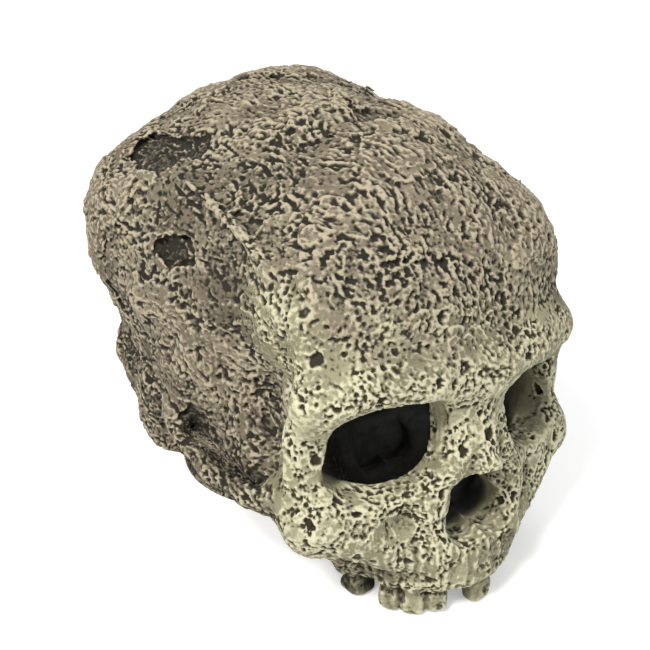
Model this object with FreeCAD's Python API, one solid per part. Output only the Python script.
import FreeCAD, Part
import math
import os

# Air-fed skull ornament for an aquarium or pond: a hollow cast skull that lifts off a small
# moulded tray, which carries the air line, a non-return valve, a regulating valve and the air stone.
# Millimetres. +Z up, the face looks towards -Y. z = 0 is the plane the ornament rests on.

V = FreeCAD.Vector

# ---------------------------------------------------------------- driving dimensions
SCALE = 0.85            # ornament against a life-size adult skull
REST = 50.0             # life size, resting plane below the level of the ear openings
SHIFT_Y = 6.0           # ornament, ear openings behind the origin

WALL = 4.8              # casting wall
OPEN_RX = 28.9          # underside opening, half width
OPEN_RY = 31.0          # underside opening, half length
OPEN_CY = 23.0          # underside opening, centre
OPEN_TOP = 26.0         # straight-sided up to here

NOTCH_HALF = 7.3        # rear arches, half width and top radius
LINE_X = 16.0           # air line on -X, regulating valve on +X
LINE_Z = 12.0           # height of both lines

TRAY_GAP = 0.8
TRAY_Z0, TRAY_Z1 = 2.0, 4.5
PANEL_Y0, PANEL_Y1 = 47.0, 50.0
PANEL_HALF = 6.5

HOSE_R = 2.5            # inner tubing 3 x 5 mm
SPIGOT_R = 1.6
AIR_IN_R = 2.5          # outer spigot for 4 x 6 mm air line
AIR_IN_LEN = 12.0

STONE_R, STONE_LEN = 6.5, 22.0
STONE_Z = 27.0
STONE_Y0 = -4.0

VALVE_BORE_R = 2.55
SPINDLE_R = 2.50
DISC_TRAVEL = 0.8


def at(x, y, z):
    """A point given in life-size anatomy coordinates, placed in the ornament's frame."""
    return V(SCALE * x, SCALE * y + SHIFT_Y, SCALE * (z + REST))


# Braincase: height, then the section's radius every 15 degrees from front to back, about x 0, y CASE_CY.
CASE_CY = 16.2
CASE_OUTER = [
    (0.0, (28.9, 29.0, 29.4, 30.1, 31.0, 32.3, 33.8, 35.6, 37.5, 39.3, 41.0, 42.1, 42.5)),
    (8.5, (30.3, 30.4, 30.9, 31.8, 32.9, 34.4, 36.2, 38.3, 40.4, 42.5, 44.2, 45.3, 45.7)),
    (18.7, (32.6, 32.8, 33.5, 34.8, 36.5, 38.2, 40.4, 43.2, 45.8, 48.1, 49.8, 50.9, 51.3)),
    (30.6, (40.1, 39.9, 41.0, 45.0, 46.0, 45.6, 46.8, 50.0, 53.1, 55.6, 57.3, 58.3, 58.6)),
    (42.5, (58.8, 56.0, 54.9, 57.6, 55.4, 52.5, 51.6, 53.6, 57.1, 60.2, 62.3, 63.5, 63.8)),
    (54.4, (77.5, 73.3, 64.8, 60.5, 58.2, 55.4, 52.7, 52.2, 56.4, 61.2, 64.1, 65.4, 65.7)),
    (66.3, (87.2, 84.3, 74.6, 61.6, 58.8, 56.2, 54.9, 56.0, 58.5, 61.8, 64.1, 65.5, 66.0)),
    (78.2, (91.7, 90.4, 82.3, 64.9, 59.9, 57.7, 58.6, 60.5, 62.3, 63.1, 63.6, 65.1, 65.8)),
    (90.1, (92.5, 92.2, 84.8, 67.4, 59.6, 57.9, 59.4, 61.9, 63.8, 63.9, 62.1, 63.1, 63.9)),
    (102.0, (89.7, 89.8, 82.1, 63.9, 56.3, 55.1, 57.0, 59.7, 61.6, 61.3, 58.8, 59.0, 59.8)),
    (112.2, (83.8, 83.5, 73.8, 57.4, 50.5, 49.5, 51.5, 54.0, 55.7, 54.8, 52.2, 52.6, 53.2)),
    (120.7, (75.4, 72.9, 59.9, 48.8, 42.9, 41.5, 42.8, 44.9, 45.9, 44.6, 43.3, 44.1, 44.6)),
    (127.5, (63.8, 58.2, 46.7, 38.2, 33.8, 32.1, 31.8, 32.3, 32.6, 32.5, 33.1, 34.1, 34.4)),
    (132.2, (47.3, 41.6, 32.6, 27.2, 24.7, 23.3, 22.4, 22.0, 22.1, 22.6, 23.2, 23.8, 24.0)),
    (135.2, (24.3, 22.1, 18.9, 16.8, 15.4, 14.3, 13.5, 13.1, 12.9, 12.9, 13.1, 13.3, 13.3)),
    (136.6, (9.9, 9.5, 8.5, 7.3, 6.2, 5.3, 4.6, 4.1, 3.7, 3.4, 3.3, 3.2, 3.1)),
]
CASE_INNER = [
    (25.5, (28.9, 29.1, 29.7, 31.2, 33.1, 35.1, 37.4, 40.6, 43.6, 46.0, 47.8, 48.9, 49.3)),
    (34.0, (34.9, 34.8, 35.2, 39.1, 41.3, 40.8, 42.0, 45.5, 48.8, 51.3, 53.1, 54.1, 54.4)),
    (42.5, (47.5, 45.8, 45.7, 51.6, 49.4, 46.2, 44.9, 46.9, 50.6, 53.8, 56.1, 57.3, 57.6)),
    (54.4, (69.7, 65.4, 57.9, 55.8, 53.2, 49.4, 45.8, 44.1, 48.4, 54.4, 57.8, 59.1, 59.4)),
    (66.3, (81.6, 77.9, 67.1, 56.6, 54.0, 51.1, 49.5, 50.5, 52.8, 56.6, 59.2, 60.7, 61.1)),
    (78.2, (86.9, 85.1, 75.7, 59.5, 54.9, 52.8, 53.6, 55.5, 57.3, 57.9, 58.5, 60.2, 60.9)),
    (90.1, (87.7, 87.3, 78.9, 61.3, 54.4, 53.0, 54.6, 57.0, 59.1, 59.1, 57.0, 58.1, 58.9)),
    (102.0, (84.5, 84.5, 75.3, 57.5, 50.7, 49.8, 51.8, 54.5, 56.4, 55.9, 53.1, 53.7, 54.4)),
    (110.5, (79.1, 78.3, 66.1, 51.7, 45.5, 44.6, 46.6, 49.2, 50.8, 49.6, 47.0, 47.8, 48.4)),
    (117.3, (72.0, 68.7, 54.8, 44.5, 39.3, 37.9, 39.1, 41.2, 42.1, 40.6, 39.6, 40.7, 41.3)),
    (123.2, (61.6, 55.5, 43.3, 35.2, 31.5, 29.8, 29.3, 29.7, 29.9, 30.1, 31.0, 31.9, 32.3)),
    (127.5, (45.9, 39.4, 30.5, 25.7, 23.4, 22.1, 21.2, 20.9, 21.0, 21.4, 22.1, 22.7, 22.9)),
    (130.3, (23.3, 21.3, 18.4, 16.6, 15.1, 14.0, 13.2, 12.8, 12.7, 12.7, 13.0, 13.2, 13.2)),
    (131.8, (10.7, 10.3, 9.2, 8.0, 6.9, 6.0, 5.3, 4.8, 4.4, 4.2, 4.0, 3.9, 3.9)),
]

# Facial mass, life size: height, half width, front, back, squareness of the section.
FACE_CY = -62.0
FACE = [
    (-43.0, 28.0, -100.0, -42.0, 2.2),
    (-33.0, 30.5, -101.0, -40.0, 2.2),
    (-24.0, 37.0, -100.0, -38.0, 2.2),
    (-15.0, 49.0, -97.5, -34.0, 2.4),
    (-6.0, 57.0, -94.0, -30.0, 2.7),
    (5.0, 57.0, -91.5, -28.0, 3.0),
    (17.0, 55.5, -91.5, -28.0, 3.2),
    (28.0, 55.0, -95.0, -30.0, 3.2),
    (36.0, 54.5, -99.5, -34.0, 3.0),
    (43.0, 51.0, -100.0, -36.0, 2.8),
    (50.0, 46.0, -97.5, -40.0, 2.5),
    (56.0, 38.0, -92.0, -46.0, 2.3),
]

# Upper teeth still in the jaw: side, distance along the arch from the middle, width, depth, wear.
TEETH = [
    (1, 4.4, 8.2, 6.2, 0.0),
    (-1, 12.2, 6.6, 6.0, 0.9),
    (-1, 19.6, 7.4, 7.6, 0.3),
    (1, 26.4, 6.8, 8.4, 1.2),
    (-1, 27.0, 6.8, 8.2, 0.6),
    (1, 42.0, 9.6, 9.8, 0.7),
    (-1, 41.5, 9.8, 9.8, 0.2),
]
ARCH_RX, ARCH_RY, ARCH_CY = 26.0, 28.0, -68.0


# ---------------------------------------------------------------- helpers
def closed_wire(points):
    curve = Part.BSplineCurve()
    curve.interpolate(Points=points, PeriodicFlag=True)
    return Part.Wire([curve.toShape()])


def polar_wire(z, radii, cy):
    pts = []
    for i, r in enumerate(radii):
        a = math.radians(-90 + 15 * i)
        pts.append(V(r * math.cos(a), cy + r * math.sin(a), z))
    for i in range(len(radii) - 2, 0, -1):
        pts.append(V(-pts[i].x, pts[i].y, z))
    return closed_wire(pts)


def squarish(n, t):
    c, s = math.cos(t), math.sin(t)
    return (math.copysign(abs(c) ** (2.0 / n), c), math.copysign(abs(s) ** (2.0 / n), s))


def face_wire(z, half, front, back, n):
    pts = []
    for i in range(24):
        c, s = squarish(n, math.radians(-90 + 15 * i))
        depth = (FACE_CY - front) if s < 0 else (back - FACE_CY)
        pts.append(at(half * c, FACE_CY + depth * s, z))
    return closed_wire(pts)


def xz_wire(cx, y, cz, rx, rz, n=2.0, count=20):
    pts = []
    for i in range(count):
        c, s = squarish(n, 2 * math.pi * i / count)
        pts.append(at(cx + rx * c, y, cz + rz * s))
    return closed_wire(pts)


def loft(wires):
    return Part.makeLoft(wires, True, False)


def ellipsoid(cx, cy, cz, rx, ry, rz):
    """Life-size centre and radii."""
    m = FreeCAD.Matrix()
    m.scale(SCALE * rx, SCALE * ry, SCALE * rz)
    ball = Part.makeSphere(1.0).transformGeometry(m)
    ball.translate(at(cx, cy, cz))
    return ball


def oval(rx, ry, cy, z0, z1):
    edge = Part.Ellipse(V(0, cy, z0), max(rx, ry), min(rx, ry))
    if ry > rx:
        edge.rotate(FreeCAD.Placement(V(0, cy, z0), V(0, 0, 1), 90))
    return Part.Face(Part.Wire([edge.toShape()])).extrude(V(0, 0, z1 - z0))


def box(x0, x1, y0, y1, z0, z1):
    return Part.makeBox(x1 - x0, y1 - y0, z1 - z0, V(x0, y0, z0))


def rod(x, y0, y1, z, r):
    """Cylinder along Y from y0 to y1."""
    return Part.makeCylinder(r, y1 - y0, V(x, y0, z), V(0, 1, 0))


def post(x, y, z0, z1, r):
    return Part.makeCylinder(r, z1 - z0, V(x, y, z0), V(0, 0, 1))


def hexagon(x, y0, y1, z, across):
    r = across / math.sqrt(3)
    pts = [V(x + r * math.cos(math.radians(60 * i)), y0, z + r * math.sin(math.radians(60 * i))) for i in range(7)]
    return Part.Face(Part.makePolygon(pts)).extrude(V(0, y1 - y0, 0))


def turned(profile, x, z):
    """Solid of revolution about the line along Y through x, z. profile holds (y, radius) pairs."""
    pts = [V(x, profile[0][0], z)]
    pts += [V(x + r, y, z) for y, r in profile]
    pts += [V(x, profile[-1][0], z), pts[0]]
    return Part.Face(Part.makePolygon(pts)).revolve(V(x, 0, z), V(0, 1, 0), 360)


def ring(x, y, z, big, small):
    return Part.makeTorus(big, small, V(x, y, z), V(0, 1, 0))


def fused(shapes):
    return shapes[0].fuse(shapes[1:]) if len(shapes) > 1 else shapes[0]


def one_solid(shape):
    """The largest solid of a boolean result, so stray slivers never leave the file."""
    solids = sorted(shape.Solids, key=lambda s: s.Volume)
    return solids[-1]


parts = {}


# ---------------------------------------------------------------- skull shell
def arch_point(distance):
    """Point and tangent angle on the dental arch, life size, by arc length from the middle."""
    t, walked, last = 0.0, 0.0, (0.0, ARCH_CY - ARCH_RY)
    while walked < distance:
        t += 0.002
        p = (ARCH_RX * math.sin(t), ARCH_CY - ARCH_RY * math.cos(t))
        walked += math.hypot(p[0] - last[0], p[1] - last[1])
        last = p
    angle = math.atan2(ARCH_RY * math.sin(t), ARCH_RX * math.cos(t))
    return last, angle


def tooth(side, distance, width, depth, wear):
    (x, y), angle = arch_point(distance)
    wires = []
    bottom = -49.6 + wear
    for z, k in ((-38.0, 0.72), (-44.0, 0.94), (bottom + 1.8, 1.0), (bottom, 0.78)):
        pts = []
        for i in range(16):
            c, s = squarish(2.8, 2 * math.pi * i / 16)
            u, v = 0.5 * width * k * c, 0.5 * depth * k * s
            px = x + u * math.cos(angle) - v * math.sin(angle)
            py = y + u * math.sin(angle) + v * math.cos(angle)
            pts.append(at(side * px, py, z))
        if side < 0:
            pts.reverse()
        wires.append(closed_wire(pts))
    return loft(wires)


def skull_shell():
    case = loft([polar_wire(z, r, CASE_CY) for z, r in CASE_OUTER])
    face = loft([face_wire(*row) for row in FACE])
    add = [face]
    for s in (1, -1):
        # floor of the temple hollow, the cheek arch standing on it, and the bump behind the ear
        add.append(ellipsoid(s * 44, -42, -2, 15, 32, 14))
        add.append(loft([
            xz_wire(s * 48, -74, -6.5, 6.0, 7.5),
            xz_wire(s * 59, -56, -6.5, 4.6, 5.6),
            xz_wire(s * 63.5, -38, -5.0, 4.2, 5.0),
            xz_wire(s * 62.5, -20, -1.5, 4.4, 5.2),
            xz_wire(s * 57, -4, 2.0, 4.6, 5.6),
        ]))
        add.append(ellipsoid(s * 51.5, 13, -9, 10.5, 11.5, 18))
    bridge = Part.makeCone(SCALE * 7.0, SCALE * 5.4, (at(0, -101, 8) - at(0, -90, 32)).Length, at(0, -90, 32), at(0, -101, 8) - at(0, -90, 32))
    add.append(bridge)
    add += [tooth(*row) for row in TEETH]
    body = case.fuse(add)

    hollow = [loft([polar_wire(z, r, CASE_CY) for z, r in CASE_INNER])]
    hollow.append(oval(OPEN_RX, OPEN_RY, OPEN_CY, -1.0, OPEN_TOP))
    hollow.append(ellipsoid(0, -64, 2, 29, 22, 27))
    for s in (1, -1):
        # eye socket, a rounded-square cone running back and inwards
        hollow.append(loft([
            xz_wire(s * cx, y, cz, rx, rz, 2.5) for y, cx, cz, rx, rz in (
                (-126, 31.5, 17.0, 19.6, 17.2), (-100, 31.5, 17.0, 19.6, 17.2),
                (-70, 28.1, 16.5, 16.4, 14.4), (-36, 24.7, 16.0, 13.2, 11.6))
        ]))
        # arch through the rear wall
        x = s * LINE_X
        hollow.append(box(x - NOTCH_HALF, x + NOTCH_HALF, 38, 74, -1, LINE_Z))
        hollow.append(rod(x, 38, 74, LINE_Z, NOTCH_HALF))
    # pear-shaped nose opening
    half = [(0, 6.6), (4.0, 4.0), (6.6, -3.0), (10.4, -8.0), (12.3, -13.5), (10.0, -18.6), (5.0, -20.4)]
    outline = half + [(0, -18.6)] + [(-x, z) for x, z in reversed(half[1:])]
    nose = Part.Face(closed_wire([at(x, -126, z) for x, z in outline])).extrude(V(0, SCALE * 80, 0))
    hollow.append(nose)
    # vault of the palate
    hollow.append(ellipsoid(0, -68, -50, 18, 23, 13))
    # two vents in the roof, so that no air stays trapped
    hollow.append(post(-24, 30, 100, 145, 1.75))
    hollow.append(post(19, -8, 100, 145, 1.75))
    for tool in hollow:
        body = body.cut(tool)
    return one_solid(body)


parts["skull_shell"] = skull_shell()


# ---------------------------------------------------------------- tray
TRAY_RX, TRAY_RY = OPEN_RX - TRAY_GAP, OPEN_RY - TRAY_GAP
PADS = [(-17, 4), (17, 4), (-13, 42), (13, 42)]
CRADLE_SCREWS = [(-6.5, 9.0), (6.5, 9.0)]


def tray():
    body = oval(TRAY_RX, TRAY_RY, OPEN_CY, TRAY_Z0, TRAY_Z1)
    lip = oval(TRAY_RX, TRAY_RY, OPEN_CY, TRAY_Z1 - 0.5, 7.5).cut(oval(TRAY_RX - 1.5, TRAY_RY - 1.5, OPEN_CY, 0, 10))
    body = body.fuse(lip.cut(box(-40, 40, 36, 70, 0, 20)))
    for s in (1, -1):
        x = s * LINE_X
        body = body.fuse(box(x - PANEL_HALF, x + PANEL_HALF, 34, PANEL_Y1, TRAY_Z0, TRAY_Z1))
        body = body.fuse(box(x - PANEL_HALF, x + PANEL_HALF, PANEL_Y0, PANEL_Y1, TRAY_Z0, LINE_Z))
        body = body.fuse(rod(x, PANEL_Y0, PANEL_Y1, LINE_Z, PANEL_HALF))
    # saddle that holds the non-return valve
    x = -LINE_X
    saddle = rod(x, 20.5, 24.0, LINE_Z, 6.6).cut(rod(x, 20, 25, LINE_Z, 5.03)).cut(box(x - 8, x + 8, 20, 25, LINE_Z + 2.2, LINE_Z + 9))
    body = body.fuse(saddle).fuse(box(x - 3.5, x + 3.5, 20.5, 24.0, TRAY_Z1 - 0.5, 6.3))
    body = body.cut(rod(x, 46, 51, LINE_Z, 3.0)).cut(rod(LINE_X, 46, 51, LINE_Z, 3.5))
    # water slots
    for sx in (-8, -4, 0, 4, 8):
        body = body.cut(box(sx - 1, sx + 1, 23, 39, 0, 6))
    for px, py in PADS:
        body = body.cut(post(px, py, 0, 6, 1.5))
    for px, py in CRADLE_SCREWS:
        body = body.cut(post(px, py, 0, 6, 1.1))
    return one_solid(body)


parts["base_tray"] = tray()

pads = []
for px, py in PADS:
    pad = post(px, py, 0, TRAY_Z0, 4.0)
    pad = pad.makeFillet(0.5, [e for e in pad.Edges if e.BoundBox.ZMax < 0.01 and e.Curve.TypeId == "Part::GeomCircle"])
    pads.append(pad.fuse(post(px, py, TRAY_Z0, TRAY_Z1, 1.5)))
parts["foot_pads"] = Part.makeCompound([p.Solids[0] for p in pads])


# ---------------------------------------------------------------- stone cradle
def cradle():
    foot = box(-9.5, 9.5, 3, 15, TRAY_Z1, 6.5)
    foot = foot.makeFillet(1.5, [e for e in foot.Edges if abs(e.BoundBox.ZLength - 2.0) < 0.01])
    body = foot
    for y in (3.5, 11.5):
        saddle = rod(0, y, y + 3, STONE_Z, 8.3).cut(rod(0, y - 1, y + 4, STONE_Z, STONE_R + 0.02))
        saddle = saddle.cut(box(-10, 10, y - 1, y + 4, STONE_Z + 3.0, STONE_Z + 10))
        body = body.fuse(saddle).fuse(box(-3, 3, y, y + 3, 6.0, STONE_Z - 7.2))
    body = body.fuse(box(-1, 1, 5, 13, 6.0, STONE_Z - 9.5))
    for px, py in CRADLE_SCREWS:
        body = body.cut(post(px, py, 4, 8, 1.2))
    return one_solid(body)


parts["stone_cradle"] = cradle()

screws = []
for px, py in CRADLE_SCREWS:
    head = post(px, py, 6.5, 7.9, 2.0)
    head = head.makeFillet(0.5, [e for e in head.Edges if e.BoundBox.ZMin > 7.8 and e.Curve.TypeId == "Part::GeomCircle"])
    s = head.fuse(post(px, py, 2.4, 6.5, 1.1))
    s = s.cut(box(px - 1.3, px + 1.3, py - 0.25, py + 0.25, 7.3, 9)).cut(box(px - 0.25, px + 0.25, py - 1.3, py + 1.3, 7.3, 9))
    screws.append(s.Solids[0])
parts["cradle_screws"] = Part.makeCompound(screws)


# ---------------------------------------------------------------- air stone
stone = rod(0, STONE_Y0, STONE_Y0 + STONE_LEN, STONE_Z, STONE_R)
stone = stone.makeFillet(1.2, [e for e in stone.Edges if e.Curve.TypeId == "Part::GeomCircle"])
STONE_Y1 = STONE_Y0 + STONE_LEN
parts["air_stone"] = one_solid(stone.cut(rod(0, STONE_Y1 - 8, STONE_Y1 + 1, STONE_Z, SPIGOT_R)))
nipple = turned([(STONE_Y1 - 8, SPIGOT_R), (STONE_Y1, SPIGOT_R), (STONE_Y1, 3.2), (STONE_Y1 + 1, 3.2), (STONE_Y1 + 1, SPIGOT_R),
                 (STONE_Y1 + 5.6, SPIGOT_R), (STONE_Y1 + 6, SPIGOT_R - 0.3)], 0, STONE_Z)
parts["air_stone_nipple"] = one_solid(nipple.cut(rod(0, STONE_Y1 - 9, STONE_Y1 + 7, STONE_Z, 1.0)))


# ---------------------------------------------------------------- air inlet
X = -LINE_X
END_Y = 52.7 + AIR_IN_LEN
inlet = turned([(39, 1.3), (39.4, SPIGOT_R), (44, SPIGOT_R), (44, 3.0), (51.2, 3.0), (51.2, 5.0), (52.7, 5.0), (52.7, AIR_IN_R),
                (END_Y, AIR_IN_R), (END_Y + 0.5, AIR_IN_R - 0.5)], X, LINE_Z)
parts["inlet_fitting"] = one_solid(inlet.cut(rod(X, 38, END_Y + 2, LINE_Z, 1.0)))
parts["inlet_nut"] = one_solid(hexagon(X, 44.0, 47.0, LINE_Z, 9.0).cut(rod(X, 43, 48, LINE_Z, 3.0)))
parts["inlet_oring"] = ring(X, 50.6, LINE_Z, 3.8, 0.6)


# ---------------------------------------------------------------- non-return valve
SEAT_Y = 26.2
STOP_Y = 24.5
SPLIT_Y = 25.5
half_in = turned([(SPLIT_Y, 5.0), (31.4, 5.0), (32, 4.4), (32, SPIGOT_R), (36.6, SPIGOT_R), (37, 1.3)], X, LINE_Z)
half_in = half_in.cut(rod(X, SPLIT_Y - 1, SEAT_Y, LINE_Z, 3.7)).cut(rod(X, SEAT_Y - 1, 38, LINE_Z, 1.0))
parts["check_valve_inlet_half"] = one_solid(half_in)
half_out = turned([(14, 1.3), (14.4, SPIGOT_R), (19, SPIGOT_R), (19, 4.4), (19.6, 5.0), (SPLIT_Y, 5.0)], X, LINE_Z)
half_out = half_out.cut(rod(X, STOP_Y, SPLIT_Y + 1, LINE_Z, 3.7)).cut(rod(X, 13, 27, LINE_Z, 1.0))
half_out = half_out.cut(box(X - 3.5, X + 3.5, STOP_Y - 1.0, STOP_Y + 0.2, LINE_Z - 0.7, LINE_Z + 0.7))
half_out = half_out.cut(box(X - 0.7, X + 0.7, STOP_Y - 1.0, STOP_Y + 0.2, LINE_Z - 3.5, LINE_Z + 3.5))
parts["check_valve_outlet_half"] = one_solid(half_out)
parts["check_valve_disc"] = rod(X, SEAT_Y - 0.82, SEAT_Y - 0.02, LINE_Z, 3.0)


# ---------------------------------------------------------------- regulating valve
X = LINE_X
block = box(X - 5.5, X + 5.5, 33, 47, LINE_Z - 5.5, LINE_Z + 5.5)
block = block.makeFillet(1.2, [e for e in block.Edges if abs(e.BoundBox.YLength - 14.0) < 0.01])
body = block.fuse(rod(X, 46, 53.9, LINE_Z, 3.5))
body = body.fuse(turned([(28, 1.3), (28.4, SPIGOT_R), (33.5, SPIGOT_R)], X, LINE_Z))
body = body.fuse(post(X, 40, LINE_Z + 5, 23, SPIGOT_R))
body = body.cut(rod(X, 34.3, 54.5, LINE_Z, VALVE_BORE_R)).cut(rod(X, 27, 35, LINE_Z, 1.0)).cut(post(X, 40, LINE_Z, 24, 1.0))
parts["flow_valve_body"] = one_solid(body)

gland = hexagon(X, 50.0, 55.2, LINE_Z, 10.0).cut(rod(X, 49, 54.0, LINE_Z, 3.5)).cut(rod(X, 53, 56, LINE_Z, 1.85))
parts["flow_valve_gland_nut"] = one_solid(gland)

spindle = turned([(34.5, SPINDLE_R), (49.2, SPINDLE_R), (49.2, 1.8), (50.4, 1.8), (50.4, SPINDLE_R), (53.9, SPINDLE_R), (53.9, 1.7), (62.0, 1.7)], X, LINE_Z)
spindle = spindle.cut(rod(X, 34, 41.2, LINE_Z, 1.2)).cut(post(X, 40, LINE_Z, 16, 1.0))
parts["flow_valve_spindle"] = one_solid(spindle)
parts["flow_valve_oring"] = ring(X, 49.8, LINE_Z, 2.165, 0.365)

knob = rod(X, 56, 59.4, LINE_Z, 5.5)
knob = knob.makeFillet(0.6, [e for e in knob.Edges if e.Curve.TypeId == "Part::GeomCircle"])
grip = box(X - 1.6, X + 1.6, 58, 63.6, LINE_Z - 5.2, LINE_Z + 5.2)
grip = grip.makeFillet(0.7, [e for e in grip.Edges if e.BoundBox.YLength < 0.01 and e.BoundBox.YMin > 63])
knob = knob.fuse(grip).fuse(rod(X, 58, 63.0, LINE_Z, 2.9)).cut(rod(X, 55, 62.0, LINE_Z, 1.7))
parts["flow_valve_knob"] = one_solid(knob)


# ---------------------------------------------------------------- tubing
def bore(shape, tool):
    return one_solid(shape.cut(tool))


X = -LINE_X
parts["inlet_hose"] = bore(rod(X, 32.2, 43.8, LINE_Z, HOSE_R), rod(X, 32, 44, LINE_Z, SPIGOT_R))


def looped(r):
    """Left spigot, half turn round the front of the tray, right spigot."""
    c = Part.Face(Part.Wire([Part.makeCircle(r, V(-LINE_X, 14, LINE_Z), V(0, 1, 0))]))
    turn = c.revolve(V(0, 14, 0), V(0, 0, 1), 180)
    return turn.fuse([rod(-LINE_X, 14, 18.8, LINE_Z, r), rod(LINE_X, 14, 32.8, LINE_Z, r)])


parts["valve_hose"] = one_solid(looped(HOSE_R).cut(looped(SPIGOT_R)))


def riser(r):
    """From the regulating valve's top spigot, up and over to the air stone's nipple."""
    p0, p3 = V(LINE_X, 40, 23.5), V(0, 24.5, STONE_Z)
    curve = Part.BezierCurve()
    curve.setPoles([p0, p0 + V(0, 0, 15), p3 + V(0, 14, 0), p3])
    path = Part.Wire([curve.toShape()])
    start = Part.Wire([Part.makeCircle(r, p0, V(0, 0, 1))])
    bend = path.makePipeShell([start], True, False)
    return bend.fuse([post(LINE_X, 40, 17.8, 23.5, r), rod(0, 19.3, 24.5, STONE_Z, r)])


parts["stone_hose"] = one_solid(riser(HOSE_R).cut(riser(SPIGOT_R)))


# ---------------------------------------------------------------- write
os.makedirs("parts", exist_ok=True)
for name, shape in parts.items():
    if not shape.isValid():
        shape.fix(1e-4, 1e-4, 1e-3)
    print("%-26s solids %d valid %s volume %.1f mm3" % (name, len(shape.Solids), shape.isValid(), shape.Volume))
    shape.exportStep(os.path.join("parts", name + ".step"))
